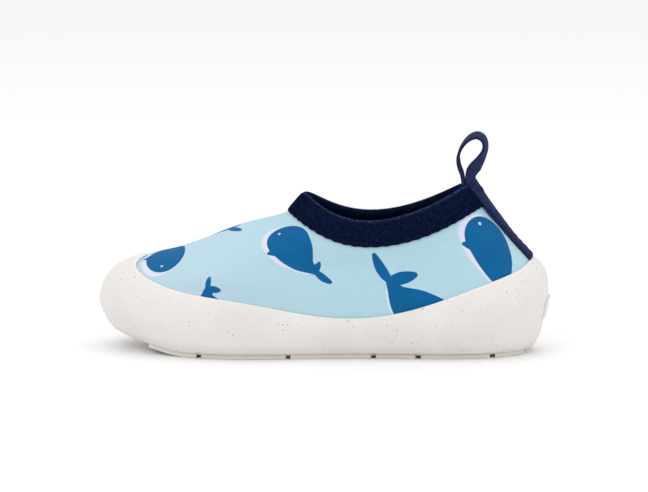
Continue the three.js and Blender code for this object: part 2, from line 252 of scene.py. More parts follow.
class Paint:  # a material and short ways to add nodes to it
    def __init__(self, name):
        self.material = bpy.data.materials.new(name)
        self.material.use_nodes = True
        self.tree = self.material.node_tree
        self.nodes = self.tree.nodes
        self.shader = self.nodes["Principled BSDF"]

    def add(self, kind, settings=None, **inputs):
        node = self.nodes.new(kind)
        for key, value in (settings or {}).items():
            setattr(node, key, value)
        for key, value in inputs.items():
            self.set(node.inputs[key.replace("_", " ")], value)
        return node

    def set(self, socket, value):
        if isinstance(value, bpy.types.NodeSocket):
            self.tree.links.new(value, socket)
        else:
            socket.default_value = value

    def math(self, operation, a, b=0.0, c=0.0):
        node = self.nodes.new("ShaderNodeMath")
        node.operation = operation
        for socket, value in zip(node.inputs, (a, b, c)):
            self.set(socket, value)
        return node.outputs[0]

    def times(self, a, b):
        return self.math("MULTIPLY", a, b)

    def wave(self, value, length):
        return self.math("SINE", self.times(value, 2 * math.pi / length))

    def ramp(self, value, low, high, fromValue=0.0, toValue=1.0):
        node = self.nodes.new("ShaderNodeMapRange")
        node.interpolation_type = "SMOOTHSTEP"
        for key, v in (("Value", value), ("From Min", low), ("From Max", high), ("To Min", fromValue),
                       ("To Max", toValue)):
            self.set(node.inputs[key], v)
        return node.outputs[0]

    def mix(self, factor, a, b):
        node = self.nodes.new("ShaderNodeMix")
        node.data_type = "RGBA"
        self.set(node.inputs[0], factor)
        self.set(node.inputs[6], a)
        self.set(node.inputs[7], b)
        return node.outputs[2]

    def tint(self, colour, factor):  # the colour made lighter or darker by a factor
        node = self.add("ShaderNodeVectorMath", {"operation": "SCALE"}, Scale=factor)
        self.set(node.inputs[0], colour)
        return node.outputs[0]

    def place(self):  # object coordinates, in millimetres
        return self.tint(self.add("ShaderNodeTexCoord").outputs["Object"], 1000.0)

    def cloth(self):  # the piece's own cloth coordinates, in millimetres
        node = self.nodes.new("ShaderNodeUVMap")
        node.uv_map = "cloth"
        split = self.add("ShaderNodeSeparateXYZ", Vector=node.outputs[0])
        return split.outputs[0], split.outputs[1]

    def noise(self, where, scale, detail=2.0, rough=0.5):
        return self.add("ShaderNodeTexNoise", Vector=where, Scale=scale, Detail=detail,
                        Roughness=rough).outputs[0]

    def attribute(self, name):
        return self.add("ShaderNodeAttribute", {"attribute_name": name}).outputs["Fac"]

    def bump(self, *layers):  # each layer is a height and how deep it is, in metres
        normal = None
        for height, depth in layers:
            node = self.add("ShaderNodeBump", Height=height, Distance=depth, Strength=1.0)
            if normal is not None:
                self.set(node.inputs["Normal"], normal)
            normal = node.outputs[0]
        self.set(self.shader.inputs["Normal"], normal)

    def surface(self, **inputs):
        for key, value in inputs.items():
            self.set(self.shader.inputs[key.replace("_", " ")], value)
        return self.material


def shade(red, green, blue):  # a colour as it looks on a screen, 0 to 255, turned to scene light
    def channel(v):
        v /= 255
        return v / 12.92 if v <= 0.04045 else ((v + 0.055) / 1.055) ** 2.4
    return (channel(red), channel(green), channel(blue), 1.0)


# Pale moulded sole foam: soft mottling, mould grain and sparse dark flecks
soleFinish = {
    "colour": shade(227, 223, 220),
    "warmColour": shade(222, 217, 213),
    "fleckColour": shade(120, 108, 98),
    "fleckPitch": 1.8,     # mm between flecks
    "fleckSize": 0.29,
    "roughness": 0.52,
}


def moulded(name, colour, warm, flecks=True):
    p = Paint(name)
    where = p.place()
    cloud = p.ramp(p.noise(where, 0.05, 3.0), 0.35, 0.7)
    base = p.mix(cloud, colour, warm)
    grain = p.noise(where, 2.6, 3.0, 0.6)
    rub = p.noise(where, 0.35, 4.0, 0.65)
    base = p.tint(base, p.ramp(grain, 0.3, 0.7, 0.975, 1.012))
    base = p.mix(p.times(p.ramp(rub, 0.52, 0.75), 0.25), base, shade(235, 229, 225))
    base = p.mix(p.times(p.attribute("edge"), 0.25), base, shade(250, 249, 247))  # painted highlight: paler on the rounded edges where the edge mark is set
    if flecks:
        cells = p.add("ShaderNodeTexVoronoi", {"feature": "F1"}, Vector=where,
                      Scale=1 / soleFinish["fleckPitch"], Randomness=1.0)
        pick = p.add("ShaderNodeSeparateColor", Color=cells.outputs["Color"])
        size = p.times(p.ramp(pick.outputs[0], 0.4, 1.0),
                       soleFinish["fleckSize"] / soleFinish["fleckPitch"])
        warp = p.times(p.math("SUBTRACT", p.noise(where, 3.0), 0.5), 0.05)
        edge = p.math("SUBTRACT", p.math("ADD", cells.outputs["Distance"], warp), size)
        fleck = p.ramp(edge, -0.02, 0.02, 1.0, 0.0)
        fleck = p.times(fleck, p.ramp(pick.outputs[1], 0.1, 0.9, 0.35, 0.85))
        base = p.mix(fleck, base, soleFinish["fleckColour"])
    p.bump((grain, 0.00006), (rub, 0.00012))
    return p.surface(Base_Color=base, Roughness=p.ramp(grain, 0.2, 0.8, soleFinish["roughness"] - 0.07,
                     soleFinish["roughness"] + 0.12), Specular_IOR_Level=0.42, Subsurface_Weight=0.06,
                     Subsurface_Scale=0.002)


soleFoam = moulded("soleFoam", soleFinish["colour"], soleFinish["warmColour"])
treadRubber = moulded("treadRubber", shade(226, 220, 212), shade(217, 210, 201))
badgeRubber = moulded("badgeRubber", shade(232, 228, 222), shade(224, 219, 212), False)

# Printed swim fabric: knit loops and a soft print over them
printFinish = {
    "frontBlue": shade(187, 215, 228),
    "backBlue": shade(181, 217, 230),
    "whaleBlue": shade(4, 101, 158),
    "whaleShade": shade(3, 95, 150),
    "bellyColour": shade(222, 225, 243),
    "loopPitch": 0.55,     # mm between knit columns
    "coursePitch": 0.42,   # mm between knit rows
    "twillPitch": 1.3,     # mm between the faint slanting lines of the knit
}


def knitHeight(p, u, v, pitch, course):  # small staggered loops, as on a fine jersey
    column = p.wave(u, pitch)
    row = p.math("SINE", p.math("ADD", p.times(v, 2 * math.pi / course), p.times(column, 0.9)))
    return p.math("ADD", p.times(p.math("ABSOLUTE", column), 0.6), p.times(row, 0.4))


def printedFabric():
    p = Paint("printedNeoprene")
    where = p.place()
    u, v = p.cloth()
    split = p.add("ShaderNodeSeparateXYZ", Vector=where)
    base = p.mix(p.ramp(split.outputs[0], -60.0, 30.0), printFinish["frontBlue"], printFinish["backBlue"])
    ragged = p.times(p.math("SUBTRACT", p.noise(where, 3.2, 1.0), 0.5), 0.16)
    colour, pale = base, printFinish["bellyColour"]
    whale = p.mix(p.ramp(p.noise(where, 0.12, 2.0), 0.3, 0.7), printFinish["whaleBlue"],
                  printFinish["whaleShade"])
    for name, ink in (("belly", pale), ("whale", whale), ("eye", pale)):
        distance = p.math("ADD", p.attribute(name), ragged)
        colour = p.mix(p.ramp(distance, -0.1, 0.1, 1.0, 0.0), colour, ink)
    loops = knitHeight(p, u, v, printFinish["loopPitch"], printFinish["coursePitch"])
    heather = p.noise(where, 1.7, 3.0, 0.7)
    fade = p.ramp(heather, 0.25, 0.75, 0.965, 1.03)
    # random heather, with painted shade: the knit's hollows darker than its loop tops
    colour = p.tint(colour, p.times(fade, p.ramp(loops, -0.4, 1.0, 0.95, 1.02)))
    twill = p.wave(p.math("SUBTRACT", u, v), printFinish["twillPitch"])
    colour = p.tint(colour, p.ramp(twill, -1.0, 1.0, 0.9, 1.06))
    soft = p.noise(where, 0.16, 2.0)
    p.bump((loops, 0.00005), (heather, 0.00005), (soft, 0.0005))
    return p.surface(Base_Color=colour, Roughness=p.ramp(loops, -0.4, 1.0, 0.9, 0.78), Sheen_Weight=0.03,
                     Sheen_Roughness=0.5, Specular_IOR_Level=0.12)


# Plain dark cloths: ribbed collar knit, lining, ribbon twill and thread share one recipe
# each ...Light colour is a lighter copy of its cloth: painted highlight on raised yarn, also random fluff and worn
# patches and the sheen tint
darkFinish = {
    "collar": shade(4, 9, 28),
    "collarLight": shade(26, 42, 86),
    "knot": shade(31, 44, 88),
    "pit": shade(0, 4, 18),
    "fold": shade(66, 80, 124),
    "lining": shade(5, 10, 26),
    "liningLight": shade(12, 20, 44),
    "ribbon": shade(22, 31, 70),
    "ribbonLight": shade(56, 70, 118),
    "thread": shade(7, 14, 38),
    "threadLight": shade(16, 26, 60),
    "cover": shade(20, 30, 62),
    "coverLight": shade(40, 54, 96),
}


def darkCloth(name, colour, weave, depth, sheen=0.25, shine=0.05, lit=0.35, fuzz=0.3):
    p = Paint(name)
    colour, light = darkFinish[colour], darkFinish[colour + "Light"]
    where = p.place()
    u, v = p.cloth()
    if weave == "rib":
        height = knitHeight(p, u, v, 0.5, 0.45)
    elif weave == "twill":
        diagonal = p.wave(p.math("ADD", u, p.times(v, 0.9)), 0.9)
        height = p.math("ADD", p.times(diagonal, 0.7), p.times(p.wave(v, 0.45), 0.3))
    elif weave == "thread":
        height = p.wave(p.math("ADD", u, v), 0.5)
    else:
        height = knitHeight(p, u, v, 0.8, 0.7)
    fluff = p.noise(where, 2.2, 4.0, 0.7)
    worn = p.noise(where, 0.22, 3.0, 0.6)
    # painted highlight: raised yarn takes the lighter copy by the share lit, the hollows keep the dark colour
    base = p.mix(p.ramp(height, -0.8, 1.0), colour, p.mix(lit, colour, light))
    base = p.mix(p.times(p.ramp(fluff, 0.5, 0.72), fuzz), base, light)
    base = p.mix(p.times(p.ramp(worn, 0.5, 0.8), 0.18), base, light)
    if weave == "rib":     # painted highlight on the knots of the looped yarn, most of all along the fold, and painted shade in the pits between them
        grain = p.add("ShaderNodeCombineXYZ", X=p.times(u, 1.6), Y=p.times(v, 0.8)).outputs[0]
        knots = p.ramp(p.noise(grain, 1.0, 2.0, 0.6), 0.5, 0.68)
        base = p.mix(p.times(knots, 0.75), base, darkFinish["knot"])
        pits = p.ramp(p.noise(grain, 0.8, 2.0, 0.6), 0.52, 0.64)
        base = p.mix(p.times(pits, 0.6), base, darkFinish["pit"])
        bead = p.ramp(p.noise(where, 1.1, 1.0), 0.45, 0.6, 0.2, 0.9)
        base = p.mix(p.times(p.attribute("fold"), bead), base, darkFinish["fold"])
    p.bump((height, depth), (fluff, 0.00006))
    return p.surface(Base_Color=base, Roughness=p.ramp(fluff, 0.2, 0.8, 0.95, 0.82), Sheen_Weight=sheen,
                     Sheen_Roughness=0.5, Sheen_Tint=light, Specular_IOR_Level=shine)


collarKnit = darkCloth("collarKnit", "collar", "rib", 0.00014, sheen=0.03, shine=0.02, lit=0.3, fuzz=0.5)
liningJersey = darkCloth("liningJersey", "lining", "jersey", 0.0001, sheen=0.08)
tapeTwill = darkCloth("tapeTwill", "ribbon", "twill", 0.00012, sheen=0.15, shine=0.12)
loopTwill = darkCloth("loopTwill", "ribbon", "twill", 0.00012, sheen=0.15, shine=0.12)
coverKnit = darkCloth("footbedKnit", "cover", "jersey", 0.00012)
ribbonThread = darkCloth("ribbonThread", "ribbon", "thread", 0.00004, sheen=0.1, shine=0.08)
threadFinish = darkCloth("sewingThread", "thread", "thread", 0.00004, sheen=0.1)


def plainBoard(name, colour, darker, scale):  # pressed board and cut foam, seen only at their edges
    p = Paint(name)
    where = p.place()
    fibre = p.noise(where, scale, 5.0, 0.7)
    p.bump((fibre, 0.00015))
    return p.surface(Base_Color=p.mix(p.ramp(fibre, 0.3, 0.7), colour, darker),
                     Roughness=p.ramp(fibre, 0.2, 0.8, 0.9, 0.75), Specular_IOR_Level=0.3)


boardFibre = plainBoard("pressedBoard", shade(196, 184, 160), shade(166, 150, 124), 1.4)
footFoam = plainBoard("footbedFoam", shade(206, 208, 214), shade(180, 184, 194), 2.6)
print("stage: finishes ready")


# Rings of points round the shoe start at the middle of the heel, so that every seam lies there
def around(count):
    return 8 + 16 * np.arange(count) / count


def inward(ring, distance, height):  # a ring moved inwards in plan and set at a height over the ground
    tangent = np.roll(ring, -1, 0) - np.roll(ring, 1, 0)
    tangent[:, 2] = 0
    tangent /= np.linalg.norm(tangent, axis=1)[:, None]
    out = np.stack([tangent[:, 1], -tangent[:, 0], 0 * tangent[:, 0]], 1)
    moved = ring - out * distance * outSign
    moved[:, 2] = height + spring(moved[:, 0])
    return moved


seat = skin(around(640), [0])[0]
area = 0.5 * np.sum(seat[:, 0] * np.roll(seat[:, 1], -1) - np.roll(seat[:, 0], -1) * seat[:, 1])
outSign = 1.0 if area > 0 else -1.0


def wrapUv(obj, u, v, total):  # u runs round the shoe, so faces over the seam get the far end's value
    layer = obj.data.uv_layers.new(name="cloth")
    mesh = obj.data
    index = np.zeros(len(mesh.loops), np.int32)
    mesh.loops.foreach_get("vertex_index", index)
    start = np.zeros(len(mesh.polygons), np.int32)
    mesh.polygons.foreach_get("loop_start", start)
    size = np.zeros(len(mesh.polygons), np.int32)
    mesh.polygons.foreach_get("loop_total", size)
    lu, lv = np.ravel(u)[index].copy(), np.ravel(v)[index]
    face = np.repeat(np.arange(len(size)), size)
    top = np.full(len(size), -1e9)
    np.maximum.at(top, face, lu)
    lu[(top[face] - lu) > total / 2] += total
    layer.data.foreach_set("uv", np.stack([lu, lv], 1).astype(np.float32).ravel())


def shellUv(obj, rows, columns):  # unrolls a band of rows by its own lengths
    grid = np.array(rows).reshape(-1, columns, 3)
    step = np.linalg.norm(np.roll(grid, -1, 1) - grid, axis=2)
    widest = step[np.argmax(step.sum(1))]
    total = round(widest.sum() / 1.1) * 1.1
    u = np.concatenate([[0], np.cumsum(widest)[:-1]]) * total / widest.sum()
    v = np.concatenate([[0], np.cumsum(np.linalg.norm(np.diff(grid, axis=0), axis=2).mean(1))])
    wrapUv(obj, np.tile(u, len(grid)), np.repeat(v, columns), total)


def runPlaces(places, gap):  # fills in places along the skin so that no step is longer than the gap
    out = [places[0]]
    for a, b in zip(places, places[1:]):
        n = max(1, int(math.ceil(abs(b - a) / gap)))
        out += [a + (b - a) * (k + 1) / n for k in range(n)]
    return out


# Cup sole: foot plate, side wall and rounded lip in one moulding
cupSole = {
    "columns": 600,
    "wallLift": [(0, 3.3), (1, 2.5), (2, 2.4), (3, 1.1)],  # how far the wall stands off the skin
    # the lip, from inside to outside: place up the skin, how far it stands off, how much painted edge highlight it
    # takes
    "lip": [(2.88, 0.16, 0), (2.95, 0.03, 0.3), (2.985, 0.12, 0.8), (2.999, 0.3, 1), (3.003, 0.55, 1),
            (2.999, 0.78, 1), (2.984, 0.98, 1), (2.955, 1.12, 0.8), (2.915, 1.2, 0.5), (2.86, 1.28, 0.25)],
    "sideTurn": 0.6,       # the wall's foot stands this far outside the seat line
    "floorEdge": [(3.0, 0.0), (1.2, 0.0), (0.5, 0.15)],  # how far in from the seat line, height over the floor
    "under": [(0.2, 1.98), (1.5, 1.9), (1.75, 1.1), (2.0, 0.95)],  # how far in, height; it ends in the grooves' web
}


def smoothLine(points, count):  # a smooth open curve through the points, so many steps for each span
    p = np.array(points, float)
    p = np.vstack([2 * p[0] - p[1], p, 2 * p[-1] - p[-2]])
    out = [curveSpan(*p[k - 1:k + 3], f) for k in range(1, len(p) - 2) for f in np.arange(count) / count]
    return np.array(out + [p[-2]])


wallLine = smoothLine(cupSole["wallLift"], 12)


def cupLift(t):
    return float(np.interp(t, *zip(*wallLine)))


def buildCup():
    s = around(cupSole["columns"])
    base = skin(s, [0])[0]
    rows, edge = [], []

    def add(row, mark=0.0):
        rows.append(row)
        edge.append(np.full(len(s), mark))

    for inset, height in cupSole["floorEdge"]:
        add(inward(base, inset, shoeShape["floorTop"] + height))
    for t in runPlaces([0.06, 2.8], 0.2):
        add(skin(s, [t], [0.3])[0])
    for t, lift, mark in cupSole["lip"]:
        add(skin(s, [t], [lift])[0], mark)
    for t in runPlaces([2.78, 0.12], 0.055):
        add(skin(s, [t], [cupLift(t)])[0])
    wall = skin(s, [0.0], [cupLift(0)])[0]
    foot = inward(base, -cupSole["sideTurn"], shoeShape["cupUnder"])
    lower = skin(s, [0.12], [cupLift(0.12)])[0]
    for f in np.linspace(0, 1, 9)[1:]:  # the wall's foot turns under in a soft round, with a faint painted edge highlight along it
        a = (1 - f) ** 2 * lower + 2 * f * (1 - f) * (wall * 0.8 + foot * 0.2) + f * f * foot
        add(a, 0.25 * f)
    for inset, height in cupSole["under"]:
        add(inward(base, inset, height))
    obj = makeObject("cupSole", np.concatenate(rows), plateFaces(len(rows), len(s)), soleFoam)
    faceOut(obj)
    setAttribute(obj, "edge", np.concatenate(edge))
    finish(obj, "shoe", ["cup_sole"])


buildCup()
print("stage: cup sole")

# Outsole pads, cut apart by the flex grooves
treadPads = {
    "grooves": [-64.0, -43.7, -10.9, 20.2, 36.6, 63.6],
    "grooveWidth": 1.7,
    "front": -75.5,
    "back": 75.0,
    "inset": 0.7,
    "top": 2.02,
    "recess": 0.36,        # how deep the ribbed floor lies behind the pad's rim
    # each ring of the rim: how far in, how high, how much painted edge highlight it takes
    "rim": [(0.0, 2.02, 0), (0.0, 1.2, 0), (0.0, 0.35, 1), (0.12, 0.14, 1), (0.35, 0.0, 1), (0.9, 0.0, 0),
            (1.3, 0.3, 0), (1.5, 0.36, 0)],
    "ringPoints": 360,
    "toeSunk": 1.1,        # mm that the toe pad sits higher than the others
    "toeInset": 2.4,
    "ribPitch": 2.6,       # cross ribs moulded in the underside
    "ribDepth": 0.48,
    "ribThick": 1.2,
    "ribInset": 2.2,
    "ribMargin": 2.4,      # kept free at the pad's front and back
}


def clipRing(ring, low, high):  # the part of a plan outline between two places along the shoe
    out = []
    n = len(ring)
    for k in range(n):
        a, b = ring[k], ring[(k + 1) % n]
        if low <= a[0] <= high:
            out.append(a)
        for cut in (low, high):
            if (a[0] - cut) * (b[0] - cut) < 0:
                f = (cut - a[0]) / (b[0] - a[0])
                out.append(a + f * (b - a))
    return np.array(out)


def depthInside(points, ring):  # how far each point lies from a closed outline, in plan
    start = ring[:, :2]
    run = np.roll(start, -1, 0) - start
    away = points[:, None, :2] - start[None]
    f = np.clip((away * run).sum(2) / np.maximum(1e-9, (run * run).sum(1)), 0, 1)
    return np.linalg.norm(away - f[..., None] * run, axis=2).min(1)


def insetRing(ring, distance):
    closed = np.vstack([ring, ring[:1]])
    edge = np.diff(closed, axis=0)[:, :2]
    edge /= np.maximum(1e-9, np.linalg.norm(edge, axis=1))[:, None]
    normal = np.stack([edge[:, 1], -edge[:, 0]], 1)
    turn = normal + np.roll(normal, 1, 0)
    turn /= np.maximum(0.35, 0.5 * np.sum(turn * turn, axis=1))[:, None]
    signed = 0.5 * np.sum(ring[:, 0] * np.roll(ring[:, 1], -1) - np.roll(ring[:, 0], -1) * ring[:, 1])
    out = ring.copy()
    out[:, :2] -= turn * distance * (1 if signed > 0 else -1)
    if distance > 0:       # points that cross over at a corner are spread between their clean neighbours
        clean = np.nonzero(depthInside(out, ring) > 0.98 * distance)[0]
        for k in (0, 1):
            out[:, k] = np.interp(np.arange(len(ring)), clean, out[clean, k], period=len(ring))
    return out


def evenRing(ring, count):
    closed = np.vstack([ring, ring[:1]])
    length = np.concatenate([[0], np.cumsum(np.linalg.norm(np.diff(closed, axis=0), axis=1))])
    at = np.linspace(0, length[-1], count, endpoint=False)
    return np.stack([np.interp(at, length, closed[:, k]) for k in range(3)], 1)


def buildPad(number, low, high):
    p, first = treadPads, number == 1  # the toe pad is let into the cup, almost flush
    lift = p["toeSunk"] if first else 0.0
    outline = clipRing(inward(seat, p["inset"] + (p["toeInset"] if first else 0), 0.0), low, high)
    keep = [0]
    for k in range(1, len(outline)):
        if np.linalg.norm(outline[k] - outline[keep[-1]]) > 0.25:
            keep.append(k)
    outline = evenRing(outline[keep], p["ringPoints"])
    rows = []
    for inset, height, _ in p["rim"]:
        ring = insetRing(outline, inset)
        ring[:, 2] = min(p["top"], height + lift) + spring(ring[:, 0])
        rows.append(ring)
    last = rows[-1]
    centre = last.mean(0)
    for f in (0.75, 0.5, 0.25, 0.04):  # the floor closes in on the pad's middle
        ring = centre + (last - centre) * f
        ring[:, 2] = p["recess"] + lift + spring(ring[:, 0])
        rows.append(ring)
    obj = makeObject("treadPad%d" % number, np.concatenate(rows), plateFaces(len(rows), p["ringPoints"], False),
                     soleFoam if first else treadRubber)
    faceOut(obj)
    # painted highlight along the rim's rounded bottom edge, none on the ribbed floor
    edgeHighlight = [mark for _, _, mark in p["rim"]] + [0] * 4
    setAttribute(obj, "edge", np.repeat(edgeHighlight, p["ringPoints"]))
    return obj


# The node trees start with named inputs and end in real geometry with a finish
def startTree(name, **sizes):
    tree = bpy.data.node_groups.new(name, "GeometryNodeTree")
    face = tree.interface
    face.new_socket("Geometry", in_out="INPUT", socket_type="NodeSocketGeometry")
    for label, value in sizes.items():
        socket = face.new_socket(label.replace("_", " "), in_out="INPUT", socket_type="NodeSocketFloat")
        socket.default_value = value
    face.new_socket("Finish", in_out="INPUT", socket_type="NodeSocketMaterial")
    face.new_socket("Geometry", in_out="OUTPUT", socket_type="NodeSocketGeometry")
    return tree, tree.nodes, tree.links.new, tree.nodes.new("NodeGroupInput").outputs


def endTree(tree, made, inputs):
    real, paint = tree.nodes.new("GeometryNodeRealizeInstances"), tree.nodes.new("GeometryNodeSetMaterial")
    tree.links.new(made, real.inputs[0])
    tree.links.new(real.outputs[0], paint.inputs["Geometry"])
    tree.links.new(inputs["Finish"], paint.inputs["Material"])
    tree.links.new(paint.outputs[0], tree.nodes.new("NodeGroupOutput").inputs[0])
    return tree


def stored(tree, name):    # a value kept on the points
    node = tree.nodes.new("GeometryNodeInputNamedAttribute")
    node.data_type = "FLOAT"
    node.inputs[0].default_value = name
    return node.outputs["Attribute"]


def feed(tree, node, *values):  # gives a node its inputs in order, each a number or another node's output
    for socket, value in zip(node.inputs, values):
        if isinstance(value, bpy.types.NodeSocket):
            tree.links.new(value, socket)
        else:
            socket.default_value = value
    return node.outputs[0]


def maths(tree, operation, *values):
    node = tree.nodes.new("ShaderNodeMath")
    node.operation = operation
    return feed(tree, node, *values)


def threeSizes(tree, *sizes):
    return feed(tree, tree.nodes.new("ShaderNodeCombineXYZ"), *sizes)


def placed(tree, points, thing, scale, turn=None):  # one copy of a shape on every point
    node = tree.nodes.new("GeometryNodeInstanceOnPoints")
    tree.links.new(points, node.inputs["Points"])
    tree.links.new(thing, node.inputs["Instance"])
    tree.links.new(scale, node.inputs["Scale"])
    if turn is not None:
        tree.links.new(turn, node.inputs["Rotation"])
    return node.outputs[0]


def ribTree():  # bars laid side by side along a line, cut to the width stored on each point
    tree, n, link, inputs = startTree("crossRibs", Rib_depth=0.0005, Rib_thickness=0.0011)
    points, bar = n.new("GeometryNodeMeshToPoints"), n.new("GeometryNodeMeshCube")
    link(inputs["Geometry"], points.inputs["Mesh"])
    bar.inputs["Vertices Y"].default_value = 9
    link(threeSizes(tree, inputs["Rib thickness"], 1.0, inputs["Rib depth"]), bar.inputs["Size"])
    width = threeSizes(tree, 1.0, stored(tree, "width"), 1.0)
    return endTree(tree, placed(tree, points.outputs[0], bar.outputs["Mesh"], width), inputs)


def runTree(source, tree, name, **values):  # runs a node tree on a mesh and keeps the result as a plain mesh
    modifier = source.modifiers.new("shape", "NODES")
    modifier.node_group = tree
    sockets = {item.name: item.identifier for item in tree.interface.items_tree
               if item.in_out == "INPUT" and item.socket_type != "NodeSocketGeometry"}
    for label, value in values.items():
        modifier[sockets[label.replace("_", " ")]] = value
    bpy.context.view_layer.update()
    graph = bpy.context.evaluated_depsgraph_get()
    mesh = bpy.data.meshes.new_from_object(source.evaluated_get(graph), preserve_all_data_layers=True,
                                           depsgraph=graph)
    mesh.name = name
    source.modifiers.remove(modifier)
    obj = bpy.data.objects.new(name, mesh)
    bpy.context.scene.collection.objects.link(obj)
    bpy.data.objects.remove(source)
    return obj


ribs = ribTree()
marks = [treadPads["front"] - 20] + treadPads["grooves"] + [treadPads["back"] + 20]
for number in range(1, 8):
    low, high = marks[number - 1], marks[number]
    low = treadPads["front"] if number == 1 else low + treadPads["grooveWidth"] / 2
    high = treadPads["back"] if number == 7 else high - treadPads["grooveWidth"] / 2
    pad = buildPad(number, low, high)
    finish(pad, "shoe", ["tread_pad_%d" % number])
    if number == 1:
        continue
    outline, margin = inward(seat, treadPads["inset"] + treadPads["ribInset"], 0.0), treadPads["ribMargin"]
    xs = np.arange(low + margin, high - margin + 0.4, treadPads["ribPitch"])
    xs = xs + (high - margin - xs[-1]) / 2
    spots, widths = [], []
    for x in xs:
        near = outline[np.abs(outline[:, 0] - x) < 0.8]
        if len(near) > 1 and np.ptp(near[:, 1]) > 6:
            spots.append((x, (near[:, 1].max() + near[:, 1].min()) / 2, 0.24 + float(spring(x))))
            widths.append(np.ptp(near[:, 1]) / 1000)
    source = makeObject("ribSpots", spots, [])
    setAttribute(source, "width", widths)
    bars = runTree(source, ribs, "padRibs%d" % number, Rib_depth=treadPads["ribDepth"] / 1000,
                   Rib_thickness=treadPads["ribThick"] / 1000, Finish=treadRubber)
    bars.data.attributes.new("edge", "FLOAT", "POINT")
    finish(bars, "shoe", ())
print("stage: tread pads")

# Footbed: cut foam under a knit cover, on a pressed board
footbed = {
    # rows of the board and the foam: how far in from the seat line, height
    "board": [(3.1, 5.95), (3.0, 6.05), (3.0, 6.8), (3.15, 6.9)],
    "foam": [(4.6, 7.3), (3.6, 7.5), (3.1, 8.1), (2.75, 9.0), (2.9, 9.8), (3.4, 10.35), (4.6, 10.5)],
    "coverThick": 0.7,
    "voxel": 0.0013,
    "pressure": 1.2,
    "mostSwell": 0.7,      # mm that a point may move as the foam fills out
    "frames": 20,
    "columns": 240,
    "coverRows": 26,
    "coverInset": 2.35,
}


def slab(name, rows, material):
    obj = makeObject(name, np.concatenate(rows), plateFaces(len(rows), len(rows[0])), material)
    return faceOut(obj)


def meshPoints(obj):
    co = np.zeros(len(obj.data.vertices) * 3)
    obj.data.vertices.foreach_get("co", co)
    return co.reshape(-1, 3)


def applyModifiers(obj):
    graph = bpy.context.evaluated_depsgraph_get()
    mesh = bpy.data.meshes.new_from_object(obj.evaluated_get(graph), depsgraph=graph)
    obj.modifiers.clear()
    obj.data = mesh


def swell(obj):  # the foam fills out under light pressure, held by its own skin
    before = meshPoints(obj)
    cloth = obj.modifiers.new("swell", "CLOTH")
    setting = cloth.settings
    setting.quality = 5
    setting.mass = 0.1
    setting.tension_stiffness = setting.compression_stiffness = 12
    setting.bending_stiffness = 0.6
    setting.use_pressure = True
    setting.uniform_pressure_force = footbed["pressure"]
    setting.effector_weights.gravity = 0
    cloth.point_cache.frame_start, cloth.point_cache.frame_end = 1, footbed["frames"]
    for frameNumber in range(1, footbed["frames"] + 1):
        bpy.context.scene.frame_set(frameNumber)
    after = meshPoints(obj.evaluated_get(bpy.context.evaluated_depsgraph_get()))
    obj.modifiers.clear()
    bpy.context.scene.frame_set(1)
    move = after - before
    length = np.linalg.norm(move, axis=1, keepdims=True)
    move *= np.minimum(1, footbed["mostSwell"] / 1000 / np.maximum(length, 1e-9))
    obj.data.vertices.foreach_set("co", (before + move).ravel())
    obj.data.update()


def middleLine(x):         # the foot's middle swings to the inner side towards the toe
    return np.interp(x, [-75, 0, 75], [2.0, 0.0, 0.0])


def buildBoard(base):
    board = slab("insoleBoard", [inward(base, d, z) for d, z in footbed["board"]], boardFibre)
    setAttribute(board, "edge", np.zeros(len(board.data.vertices)))
    finish(board, "shoe", ["insole_board"])


def buildFoam(base):
    rows = [inward(base, d, z) for d, z in footbed["foam"]]
    inner = rows[-1]
    for f in (0.2, 0.4, 0.6, 0.8):
        row = inner.copy()
        row[:, 1] = inner[:, 1] * (1 - f) + f * middleLine(row[:, 0])
        rows.append(row)
    foam = slab("footbedFoam", rows, footFoam)
    mesher = foam.modifiers.new("remesh", "REMESH")
    mesher.mode = "VOXEL"
    mesher.voxel_size = footbed["voxel"]
    mesher.use_smooth_shade = True
    applyModifiers(foam)
    swell(foam)
    finer = foam.modifiers.new("finer", "SUBSURF")
    finer.levels = finer.render_levels = 1
    applyModifiers(foam)
    foam.data.shade_smooth()
    if not foam.data.materials:
        foam.data.materials.append(footFoam)
    finish(foam, "shoe", ["footbed_foam"])
    print("stage: footbed foam")
    return foam


